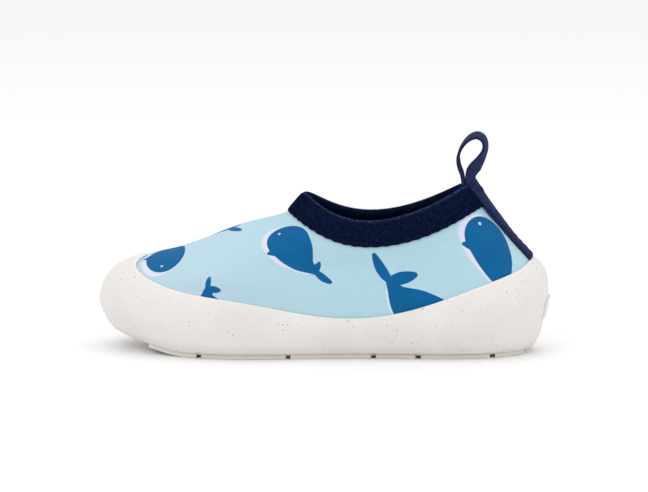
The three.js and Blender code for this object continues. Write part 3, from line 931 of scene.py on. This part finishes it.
def buildCover(base, foam):  # lies on the foam: its height is read off the foam's top
    tree = BVHTree.FromPolygons([v.co for v in foam.data.vertices], [p.vertices[:] for p in foam.data.polygons])
    rim = inward(base, footbed["coverInset"], 0.0)
    middle = rim.copy()
    middle[:, 1] = middleLine(rim[:, 0])
    rows = [rim * (1 - f) + middle * f for f in np.linspace(0, 1, footbed["coverRows"]) ** 0.8]
    down = Vector((0, 0, -1))
    for row in rows:
        hits = [tree.ray_cast(Vector(((x + planShift[0]) / 1000, (y + planShift[1]) / 1000, 0.1)), down)[0]
                for x, y in row[:, :2]]
        row[:, 2] = [np.nan if hit is None else hit.z * 1000 for hit in hits]
    for k in range(len(rows) - 2, -1, -1):  # past the foam's edge it follows the next row in, a little lower
        gap = np.isnan(rows[k][:, 2])
        rows[k][gap, 2] = rows[k + 1][gap, 2] - 0.35
    heights = np.array([row[:, 2] for row in rows])
    for row in heights:    # past the foam's two ends the height is carried on from the nearest points
        known = ~np.isnan(row)
        if known.any():
            row[~known] = np.interp(np.flatnonzero(~known), np.flatnonzero(known), row[known], period=len(row))
    for _ in range(12):
        heights = (heights + np.roll(heights, 1, 1) + np.roll(heights, -1, 1)) / 3
        heights[1:-1] = (heights[1:-1] * 2 + heights[:-2] + heights[2:]) / 4
    plan = np.array(rows)
    upper, under = plan.copy(), plan.copy()
    upper[..., 2] = heights + 0.2 + footbed["coverThick"]
    under[..., 2] = heights + 0.15
    upper[0, :, 2] -= 0.3
    grid = np.concatenate([under[::-1], upper])
    cover = slab("footbedCover", list(grid), coverKnit)
    setUv(cover, grid[..., 0], grid[..., 1])
    finish(cover, "shoe", ["footbed_cover"])


seatLine = skin(around(footbed["columns"]), [0])[0]
buildBoard(seatLine)
buildCover(seatLine, buildFoam(seatLine))
print("stage: footbed cover")

# Printed motifs: one plain whale drawn from rounds, laid on the skin at several places and turns
whaleShape = {
    "body": [(-0.4, 0, 8.3), (3, -0.5, 7.4), (6.5, -0.9, 5.6), (9.5, -0.8, 3.7), (12.2, -0.1, 2.2),
             (14.8, 1.0, 1.25)],
    "belly": [(-2.2, -2.0, 7.9), (1.5, -2.4, 7.5), (6, -2.4, 5.3), (9.6, -2.3, 3.2), (12.6, -1.3, 1.5)],
    "tailFins": [[(14.6, 0.9), (13.6, 3.2), (11.9, 6.3), 1.5], [(14.6, 1.0), (17.4, 1.1), (21.4, 3.6), 1.55]],
    "sideFin": [(2.4, -4.6), (0.6, -7.0), (-0.8, -9.4), 1.3],
    "eye": [(-5.9, -0.2, 0.62)],
}

# Each motif has a side, a place along the shoe, a height along a line tilted down by printTilt, a turn in
# degrees and a size. It may be mirrored, made longer or taller, or have its two tail fins grown or shrunk.
printTilt = 8.0
farAway = 50.0             # mm, for points that no motif reaches
motifs = [
    {"side": -1, "x": -11.2, "z": 39.6, "turn": -50, "size": 0.94, "long": 1.12, "fins": (0.6, 0.9)},
    {"side": -1, "x": -57.8, "z": 33.6, "turn": 80, "mirror": True, "size": 0.9, "tall": 1.4},
    {"side": -1, "x": -36.2, "z": 8.4, "turn": 112, "mirror": True, "size": 0.95, "fins": (0.85, 0.66)},
    {"side": -1, "x": 41.8, "z": 10.6, "turn": 139, "mirror": True, "size": 1.12,
     "long": 1.28, "fins": (1.3, 1.1)},
    {"side": -1, "x": 61.5, "z": 41.3, "turn": -60, "size": 1.06, "long": 1.4},
    {"side": 1, "x": -38.0, "z": 38.0, "turn": 97, "size": 0.95, "long": 1.15, "fins": (0.8, 1.0)},
    {"side": 1, "x": -12.0, "z": 36.5, "turn": -38, "size": 0.95, "long": 1.1, "fins": (0.6, 0.9)},
    {"side": 1, "x": -32.0, "z": 9.0, "turn": 70, "size": 0.95, "fins": (0.85, 0.7)},
    {"side": 1, "x": 5.5, "z": 8.5, "turn": 118, "mirror": True, "size": 1.12,
     "long": 1.28, "fins": (1.3, 1.1)},
    {"side": 1, "x": 36.5, "z": 31.0, "turn": -24, "size": 0.86, "fins": (0.7, 0.9)},
    {"side": 1, "x": 64.0, "z": 26.0, "turn": 100, "mirror": True, "size": 0.95, "long": 1.2},
]


def chain(rounds, steps=10):  # circles along a smooth line through the given circles
    p = np.array(rounds, float)
    p = np.vstack([2 * p[0] - p[1], p, 2 * p[-1] - p[-2]])
    f = (np.arange(steps) / steps)[:, None]
    out = [0.5 * (2 * b + (c - a) * f + (2 * a - 5 * b + 4 * c - d) * f * f + (3 * b - a - 3 * c + d) * f ** 3)
           for a, b, c, d in zip(p, p[1:], p[2:], p[3:])]
    return np.vstack(out + [p[-2]])


def leaf(a, b, c, width, steps=22):
    f = np.linspace(0, 1, steps)
    a, b, c = np.array(a), np.array(b), np.array(c)
    middle = (1 - f)[:, None] ** 2 * a + 2 * (f * (1 - f))[:, None] * b + f[:, None] ** 2 * c
    return np.column_stack([middle, width * np.sin(np.pi * np.clip(f * 0.76 + 0.12, 0, 1)) ** 0.8])


def distanceTo(rounds, a, b):  # to the nearest edge of a run of circles
    best = np.full(a.shape, 1e3)
    for x, y, r in rounds:
        best = np.minimum(best, np.hypot(a - x, b - y) - r)
    return best


def motifRounds(fins):     # the circles of one motif's body, its tail fins grown as asked
    body = [chain(whaleShape["body"]), leaf(*whaleShape["sideFin"])]
    for fin, tip in zip(fins, whaleShape["tailFins"]):
        grown = leaf(*tip)
        grown[:, :2] = (grown[:, :2] - grown[0, :2]) * fin + grown[0, :2]
        grown[:, 2] *= fin ** 0.6
        body.append(grown)
    return np.vstack(body), chain(whaleShape["belly"]), np.array(whaleShape["eye"])


def printDistances(points, normals):  # how far each point lies outside the whales, their bellies and eyes
    nearest = [np.full(len(points), farAway) for _ in range(3)]
    tilt = math.radians(printTilt)
    for m in motifs:
        side, size = m["side"], m["size"]
        upward = points[:, 2] * math.cos(tilt) - points[:, 1] * side * math.sin(tilt)
        hidden = np.where(normals[:, 1] * side > 0.12, 0, 1e3)
        k = int(np.argmin(np.hypot(points[:, 0] - m["x"], upward - m["z"]) + hidden))
        centre, n = points[k], normals[k]
        right = np.array([-side, 0.0, 0.0])
        right -= n * right.dot(n)
        right /= np.linalg.norm(right)
        offset = points - centre
        a, b = offset @ right, offset @ np.cross(n, right)
        flat = np.hypot(a, b)
        grow = np.minimum(3, np.linalg.norm(offset, axis=1) / np.maximum(flat, 1e-6))
        a, b = a * grow, b * grow / m.get("tall", 1.0)
        c, q = math.cos(math.radians(m["turn"])), math.sin(math.radians(m["turn"]))
        a, b = (a * c + b * q) / size, (b * c - a * q) / size
        if m.get("mirror"):
            b = -b
        a = np.where(a > 0, a / m.get("long", 1.0), a)
        near = (flat < 34 * size) & (normals @ n > -0.15)
        for values, rounds in zip(nearest, motifRounds(m.get("fins", (1.0, 1.0)))):
            values[near] = np.minimum(values[near], distanceTo(rounds, a[near], b[near]) * size)
    return nearest


# Upper: one sheet of printed neoprene from the seat to under the collar
upperShape = {
    "columns": 620,
    "thick": 1.3,
    "top": 6.2,
}


def buildUpper():
    s = around(upperShape["columns"])
    outer = [0, 0.5, 1, 1.5, 2, 2.4, 2.7] + runPlaces([2.84, upperShape["top"]], 0.044)
    inner = [upperShape["top"], 5.6, 5, 4.4, 3.8, 3.2, 2.6, 2, 1.5, 1, 0.5, 0]
    out = skin(s, outer)
    rows = [*out, *skin(s, inner, [-upperShape["thick"]] * len(inner))]
    obj = makeObject("printedUpper", np.concatenate(rows), bandFaces(len(rows), len(s)), printedCloth)
    faceOut(obj)
    shellUv(obj, rows, len(s))
    distances = printDistances(out.reshape(-1, 3), skinNormals(s, outer).reshape(-1, 3))
    for name, values in zip(("whale", "belly", "eye"), distances):
        setAttribute(obj, name, np.concatenate([values, np.full(len(s) * len(inner), farAway)]))
    finish(obj, "shoe", ["neoprene_upper"])


printedCloth = printedFabric()
buildUpper()
print("stage: printed upper")


liningShape = {"columns": 320, "low": 0.1, "high": 6.24, "outside": -1.45, "inside": -2.3}


def buildLining():
    c = liningShape
    s = around(c["columns"])
    up = runPlaces([c["low"], c["high"]], 0.16)
    rows = [*skin(s, up, [c["outside"]] * len(up)), *skin(s, up[::-1], [c["inside"]] * len(up))]
    obj = makeObject("upperLining", np.concatenate(rows), bandFaces(len(rows), len(s)), liningJersey)
    faceOut(obj)
    shellUv(obj, rows, len(s))
    finish(obj, "shoe", ["upper_lining"])


buildLining()
print("stage: lining")

# Collar: a ribbed knit band folded over the top edge, with a soft roll and a slightly wavy foot
collar = {
    "columns": 1120,
    "stands": 0.9,         # mm off the skin outside
    "inside": -2.4,
    "ribs": 186,
    "ribHigh": 0.00013,    # metres
    "swell": 0.55,         # how much the folded knit fills out between its edges
    "waves": 58,           # pulls of the stitching along its foot
    "waveHigh": 0.011,
}


def ribbingTree():  # raises fine ribs along a band, from a place stored on its points
    tree, n, link, inputs = startTree("collarRibs", Rib_count=180, Rib_height=0.0001)
    turn = maths(tree, "MULTIPLY", stored(tree, "around"), inputs["Rib count"])
    turn = maths(tree, "MULTIPLY", turn, 2 * math.pi)
    high = maths(tree, "MULTIPLY", maths(tree, "COSINE", turn), inputs["Rib height"])
    push = n.new("ShaderNodeVectorMath")
    push.operation = "SCALE"
    link(n.new("GeometryNodeInputNormal").outputs[0], push.inputs[0])
    link(maths(tree, "MULTIPLY", high, stored(tree, "ribbed")), push.inputs["Scale"])
    move = n.new("GeometryNodeSetPosition")
    link(inputs["Geometry"], move.inputs["Geometry"])
    link(push.outputs[0], move.inputs["Offset"])
    return endTree(tree, move.outputs[0], inputs)


def upSlope(s, t):         # how a point moves for a small step up the skin
    below, above = columnPoints(s, [t - 0.04, t + 0.04])
    return (above - below) / 0.08


def buildCollar():
    c = collar
    s = around(c["columns"])
    wave = np.sin(2 * np.pi * c["waves"] * np.arange(len(s)) / len(s))
    # each row's place up the skin, lift, how much the foot's wave moves it, and how ribbed it is
    profile = [(6.0, 0.22, 1, 0), (5.985, 0.42, 1, 0.2), (5.992, 0.64, 1, 0.5), (6.015, 0.8, 1, 0.8)]
    for t in runPlaces([6.06, 6.8], 0.04):
        swellUp = c["swell"] * math.sin(math.pi * min(1, (t - 6.06) / 0.86)) ** 0.6 if t > 6.06 else 0
        profile.append((t, c["stands"] + swellUp, max(0, 1 - (t - 6) * 3), 1))
    middle, half = (c["stands"] + c["inside"]) / 2, (c["stands"] - c["inside"]) / 2
    for a in np.linspace(0.12, math.pi - 0.12, 15):  # the roll over the top edge
        profile.append((6.84 + 0.155 * math.sin(a), middle + (half + 0.04) * math.cos(a), 0, 1))
    for t in runPlaces([6.8, 6.42], 0.06):
        profile.append((t, c["inside"] + 0.04, 0, 1))
    profile += [(6.36, c["inside"] + 0.1, 0, 0.3), (6.34, -1.9, 0, 0), (6.34, -0.5, 0, 0), (6.33, 0.2, 0, 0),
                (6.2, 0.2, 0, 0), (6.08, 0.2, 0.4, 0)]
    rows = []
    for t, lift, moved, _ in profile:
        row = skin(s, [min(7, t)], [lift])[0]
        if moved > 0:
            row = row + upSlope(s, t) * (wave * c["waveHigh"] * moved)[:, None]
        rows.append(row)
    flat = makeObject("collarFlat", np.concatenate(rows), bandFaces(len(rows), len(s)), collarKnit)
    faceOut(flat)
    shellUv(flat, rows, len(s))
    setAttribute(flat, "around", np.tile(np.arange(len(s)) / len(s), len(rows)))
    setAttribute(flat, "ribbed", np.repeat([p[3] for p in profile], len(s)))
    # painted highlight: a lighter line along the outer edge of the fold
    fold = [math.exp(-(((t - 6.93) / 0.05) ** 2)) if lift > middle else 0 for t, lift, _, _ in profile]
    setAttribute(flat, "fold", np.repeat(fold, len(s)))
    obj = runTree(flat, ribbingTree(), "collarBand", Rib_count=float(c["ribs"]), Rib_height=c["ribHigh"],
                  Finish=collarKnit)
    obj.data.shade_smooth()
    finish(obj, "shoe", ["collar_band"])


buildCollar()
print("stage: collar")

# Stitching: short raised threads laid along a line
stitching = {
    "collarFoot": {"long": 1.9, "gap": 0.75, "thick": 0.17, "at": 6.16},
    "collarTop": {"long": 2.1, "gap": 0.8, "thick": 0.15, "at": 6.78},
    "tapeEdge": {"long": 1.9, "gap": 0.7, "thick": 0.17},
    "tack": {"long": 1.5, "gap": 0.02, "thick": 0.16},
}


def stitchTree():  # long beads along a line, each turned to follow it
    tree, n, link, inputs = startTree("stitches", Stitch_length=0.002, Gap=0.0008, Thread_radius=0.0002)
    line, cut = n.new("GeometryNodeMeshToCurve"), n.new("GeometryNodeResampleCurve")
    link(inputs["Geometry"], line.inputs[0])
    cut.mode = "LENGTH"
    link(line.outputs[0], cut.inputs["Curve"])
    link(maths(tree, "ADD", inputs["Stitch length"], inputs["Gap"]), cut.inputs["Length"])
    bead = n.new("GeometryNodeMeshUVSphere")
    for label, value in (("Segments", 8), ("Rings", 7), ("Radius", 1.0)):
        bead.inputs[label].default_value = value
    radius = inputs["Thread radius"]
    size = threeSizes(tree, radius, radius, maths(tree, "MULTIPLY", inputs["Stitch length"], 0.5))
    turn = n.new("FunctionNodeAlignRotationToVector")
    turn.axis = "Z"
    link(n.new("GeometryNodeInputTangent").outputs[0], turn.inputs["Vector"])
    return endTree(tree, placed(tree, cut.outputs[0], bead.outputs["Mesh"], size, turn.outputs[0]), inputs)


stitches = stitchTree()


def sewLines(name, lines, size, node, thread=threadFinish):
    points, edges = [], []
    for line in lines:
        edges += [(len(points) + k, len(points) + k + 1) for k in range(len(line) - 1)]
        points += list(line)
    mesh = bpy.data.meshes.new(name)
    mesh.from_pydata([tuple((np.array(p) + planShift) / 1000) for p in points], edges, [])
    source = bpy.data.objects.new(name + "Line", mesh)
    bpy.context.scene.collection.objects.link(source)
    obj = runTree(source, stitches, name, Stitch_length=size["long"] / 1000, Gap=size["gap"] / 1000,
                  Thread_radius=size["thick"] / 1000, Finish=thread)
    obj.data.shade_smooth()
    co = meshPoints(obj) * 1000
    if "cloth" not in obj.data.uv_layers:
        setUv(obj, co[:, 0] + co[:, 1], co[:, 2])
    finish(obj, "shoe", [node])


def collarLine(t, lift, clear, wiggle=0.0):
    s = np.linspace(8 + clear, 24 - clear, 1400)
    up = wiggle * np.sin(2 * np.pi * collar["waves"] * (s - 8) / 16)
    return skin(s, [t], [lift])[0] + upSlope(s, t) * up[:, None]


footRow, topRow = stitching["collarFoot"], stitching["collarTop"]
sewLines("collarFootStitch", [collarLine(footRow["at"], 1.2, 0.85, 0.006)], footRow, "collar_foot_stitch")
sewLines("collarTopStitch", [collarLine(topRow["at"], 1.12, 1.05)], topRow, "collar_top_stitch")
print("stage: collar stitching")

# Heel tape: a woven ribbon up the back seam
ribbon = {
    "wide": 12.0,
    "thick": 1.1,
    "round": 0.3,
    "low": 3.03,
    "high": 6.86,
}


def acrossHeel(t, y):      # the place round the shoe that lies y to the side of the heel's middle
    s, near = 8.0, 0.02
    for _ in range(8):
        here = columnPoints([s - near, s, s + near], [t])[0][:, 1]
        s += (y - here[1]) / ((here[2] - here[0]) / (2 * near))
    return s


def smooth(v, a, b):
    f = min(1, max(0, (v - a) / (b - a)))
    return f * f * (3 - 2 * f)


def tapeLift(t):
    return 0.3 + 0.95 * smooth(t, 5.65, 5.93)


def ribbonRound(half, r, ys):  # (y, on the outer face or not, offset from that face) once round a ribbon
    def side(sign):
        return [(sign * (half - 0.3 * r), 1, -0.3 * r), (sign * half, 1, -r), (sign * half, 0, r),
                (sign * (half - 0.3 * r), 0, 0.3 * r)]
    return ([(y, 1, 0.0) for y in ys] + side(1) + [(y, 0, 0.0) for y in ys[::-1]] + side(-1)[::-1])


def tubeObject(name, rows, material):  # rings joined to a tube with flat ends
    count, per = len(rows), len(rows[0])
    faces = gridFaces(count, per, True, False)
    faces += [list(range(per))[::-1], list(range((count - 1) * per, count * per))]
    return faceOut(makeObject(name, rows, faces, material))


def heelStrip(name, places, width, low, high, material, ends=0.25):  # ends thins the first and last row
    half, r = width / 2, min(ribbon["round"], 0.45 * (high(places[0]) - low(places[0])))
    across = ribbonRound(half, r, [-half + r, *np.linspace(-half + 1.0, half - 1.0, 11), half - r])
    rows = []
    for k, t in enumerate(places):
        a, b = low(t), high(t)
        thin = ends if k in (0, len(places) - 1) else 0.0
        at = {y: acrossHeel(t, y) for y, _, _ in across}
        row = []
        for y, outer, off in across:
            lift = (b if outer else a) + off
            lift = a + (lift - a) * (1 - thin) + (b - a) * thin * 0.5
            row.append(skin([at[y]], [t], [lift])[0][0])
        rows.append(row)
    rows = np.array(rows)
    obj = tubeObject(name, rows, material)
    v = np.concatenate([[0], np.cumsum(np.linalg.norm(np.diff(rows.mean(1), axis=0), axis=1))])
    setUv(obj, np.tile([y for y, _, _ in across], len(rows)), np.repeat(v, len(across)))
    return obj


def tapeTop(t):            # the outer face runs straight, without the step that the underside takes
    return 0.42 + ribbon["thick"] + 0.83 * smooth(t, 4.0, 6.1)


tape = heelStrip("heelTape", runPlaces([ribbon["low"], ribbon["low"] + 0.02, ribbon["high"]], 0.07),
                 ribbon["wide"], tapeLift, tapeTop, tapeTwill)
finish(tape, "shoe", ["heel_tape"])
tab = heelStrip("loopTab", runPlaces([6.3, 6.32, 6.94, 6.96], 0.07), ribbon["wide"], lambda t: -3.8,
                lambda t: -2.7, tapeTwill)
finish(tab, "shoe", ["loop_tab"])


def heelPoint(t, y, lift):
    return skin([acrossHeel(t, y)], [t], [lift])[0][0]


for label, y in (("Outer", -4.8), ("Inner", 4.8)):
    row = [heelPoint(t, y, tapeTop(t) + 0.02) for t in np.linspace(3.14, 6.8, 60)]
    sewLines("tapeStitch" + label, [row], stitching["tapeEdge"], "tape_stitch_" + label.lower(), ribbonThread)
tackRows = []
for k in range(9):         # back and forth over the foot of the loop
    t, ys = 6.45 + 0.16 * k / 8, np.linspace(-3.5, 3.5, 16)
    tackRows.append([heelPoint(t, y, tapeTop(t) + 0.05) for y in (ys if k % 2 else ys[::-1])])
sewLines("loopBartack", tackRows, stitching["tack"], "loop_bartack", ribbonThread)
print("stage: heel tape")

# Blank badge moulded on the back of the cup
badge = {"wide": 12.0, "low": 0.45, "high": 0.86, "thick": 0.8, "edge": 0.008}
badgePlaces = [badge["low"], badge["low"] + badge["edge"], badge["high"] - badge["edge"], badge["high"]]
plate = heelStrip("heelBadge", runPlaces(badgePlaces, 0.03), badge["wide"], lambda t: cupLift(t) - 0.1,
                  lambda t: cupLift(t) + badge["thick"], badgeRubber, 0.35)
setAttribute(plate, "edge", np.zeros(len(plate.data.vertices)))
finish(plate, "shoe", ["heel_badge"])
print("stage: badge")

# Pull loop: the same ribbon, from the tab inside the collar, up and over, and down into the tape
pullLoop = {
    "foot": (53.6, 64.8),  # the loop turns about this line
    "path": [(-1.7, -1.2), (-2.1, 0.9), (-3.2, 4.0), (-3.5, 7.3), (-2.1, 11.1), (0.6, 14.3), (3.5, 15.4),
             (6, 13.9), (6.75, 10.5), (5.5, 6.4), (3.9, 3.2), (2.9, 1.0), (2.35, -0.5), (2.6, -1.5)],
    "twist": 30.0,         # degrees that the back leg turns at its foot, towards the outer side
    "rows": 150,
    "bend": (0.0628, 0.0678),  # metres: two heights up the loop
}


def heelSide(t, lift):     # a point on the heel's middle line, as x and z
    return skin([8.0], [t], [lift])[0][0][[0, 2]]


def loopLine():            # the ribbon's middle line from the tab, round the loop and into the tape
    foot, high = np.array(pullLoop["foot"]), ribbon["high"]
    end = heelSide(high, (tapeTop(high) + tapeLift(high)) / 2)
    down = heelSide(high - 0.1, 0) - heelSide(high, 0)
    down /= np.linalg.norm(down)
    path = [foot + p for p in pullLoop["path"]]
    line = smoothLine([heelSide(6.9, -3.25), *path, end - down * 0.9, end + down * 0.1], 24)
    length = np.concatenate([[0], np.cumsum(np.linalg.norm(np.diff(line, axis=0), axis=1))])
    at = np.linspace(0, length[-1], pullLoop["rows"])
    line = np.stack([np.interp(at, length, line[:, k]) for k in range(2)], 1)
    for _ in range(3):
        line[1:-1] = (line[:-2] + 2 * line[1:-1] + line[2:]) / 4
    along = np.gradient(line, axis=0)
    along /= np.linalg.norm(along, axis=1)[:, None]
    return line, np.stack([-along[:, 1], along[:, 0]], 1), at


def buildLoop():
    line, out, at = loopLine()
    half, thick, r, high = ribbon["wide"] / 2, ribbon["thick"] / 2, 0.28, ribbon["high"]
    across = [(y, (thick if outer else -thick) + off)
              for y, outer, off in ribbonRound(half, r, np.linspace(-half + r, half - r, 13))]
    sample = np.linspace(-half, half, 9)
    heel = heelSide(high, 0)
    bent = [(heelPoint(high, y, 0)[[0, 2]] - heel) @ out[-1] for y in sample]
    rows = []
    for centre, side, f in zip(line, out, at / at[-1]):
        turn = math.radians(pullLoop["twist"]) * (0.2 * smooth(f, 0.35, 0.55) + 0.8 * smooth(f, 0.62, 0.9))
        settle = smooth(f, 0.88, 1.0)  # into the tape's own curve round the heel
        row = []
        for y, face in across:
            push = face + (1 - settle) * math.tan(turn) * (y if y < 0 else 0.25 * y)
            x, z = centre + side * (push + settle * float(np.interp(y, sample, bent)))
            row.append((x, y, z))
        rows.append(row)
    obj = tubeObject("pullLoop", rows, loopTwill)
    setUv(obj, np.repeat(at, len(across)), np.tile([y for y, _ in across], len(rows)))
    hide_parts("pull_loop")
    x, (start, end) = (pullLoop["foot"][0] + planShift[0]) / 1000, pullLoop["bend"]
    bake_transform(obj)


buildLoop()
print("stage: pull loop")

# Floor, light and camera
studio = {
    "lens": 200.0,
    "distance": 1.341,
    "turn": 4.0,
    "height": 8.0,
    "aimRight": -0.0001,
    "aimUp": 0.0378,
    "floor": 0.93,
    "air": 0.96,
    # name, place, size across, watts
    "lamps": [("key", (-0.5, -0.9, 1.1), 0.9, 2.3), ("fill", (0.9, -0.7, 0.7), 0.9, 1.0),
              ("top", (0.0, 0.3, 1.3), 1.2, 2.2)],
    "lampAim": (0, 0, 0.03),
}


def buildStudio():
    floor = bpy.data.meshes.new("floor")
    floor.from_pydata([(-6, -6, 0), (6, -6, 0), (6, 6, 0), (-6, 6, 0)], [], [(0, 1, 2, 3)])
    floorObj = bpy.data.objects.new("floor", floor)
    bpy.context.scene.collection.objects.link(floorObj)
    p = Paint("paleFloor")
    floor.materials.append(p.surface(Base_Color=(*[studio["floor"]] * 3, 1), Roughness=0.9,
                                     Specular_IOR_Level=0.1))
    world = bpy.data.worlds.new("studio")
    world.use_nodes = True
    air = world.node_tree.nodes["Background"].inputs
    air[0].default_value = (1, 1, 1, 1)
    air[1].default_value = studio["air"]
    bpy.context.scene.world = world
    for name, spot, size, power in studio["lamps"]:
        light = bpy.data.lights.new(name, "AREA")
        light.shape = "DISK"
        light.size = size
        light.energy = power
        lamp = bpy.data.objects.new(name, light)
        lamp.location = spot
        lamp.rotation_mode = "QUATERNION"
        lamp.rotation_quaternion = (Vector(studio["lampAim"]) - Vector(spot)).to_track_quat("-Z", "Y")
        bpy.context.scene.collection.objects.link(lamp)
    camera = bpy.data.cameras.new("camera")
    camera.lens = studio["lens"]
    camera.sensor_width = 36
    camera.clip_start, camera.clip_end = 0.05, 30
    view = bpy.data.objects.new("camera", camera)
    a, e = math.radians(studio["turn"]), math.radians(studio["height"])
    back = Vector((math.sin(a) * math.cos(e), -math.cos(a) * math.cos(e), math.sin(e)))
    right = Vector((math.cos(a), math.sin(a), 0))
    up = back.cross(right)
    view.location = right * studio["aimRight"] + up * studio["aimUp"] + back * studio["distance"]
    view.rotation_mode = "QUATERNION"
    view.rotation_quaternion = (-back).to_track_quat("-Z", "Y")
    bpy.context.scene.collection.objects.link(view)
    bpy.context.scene.camera = view
    bpy.context.scene.view_settings.view_transform = "Standard"


buildStudio()
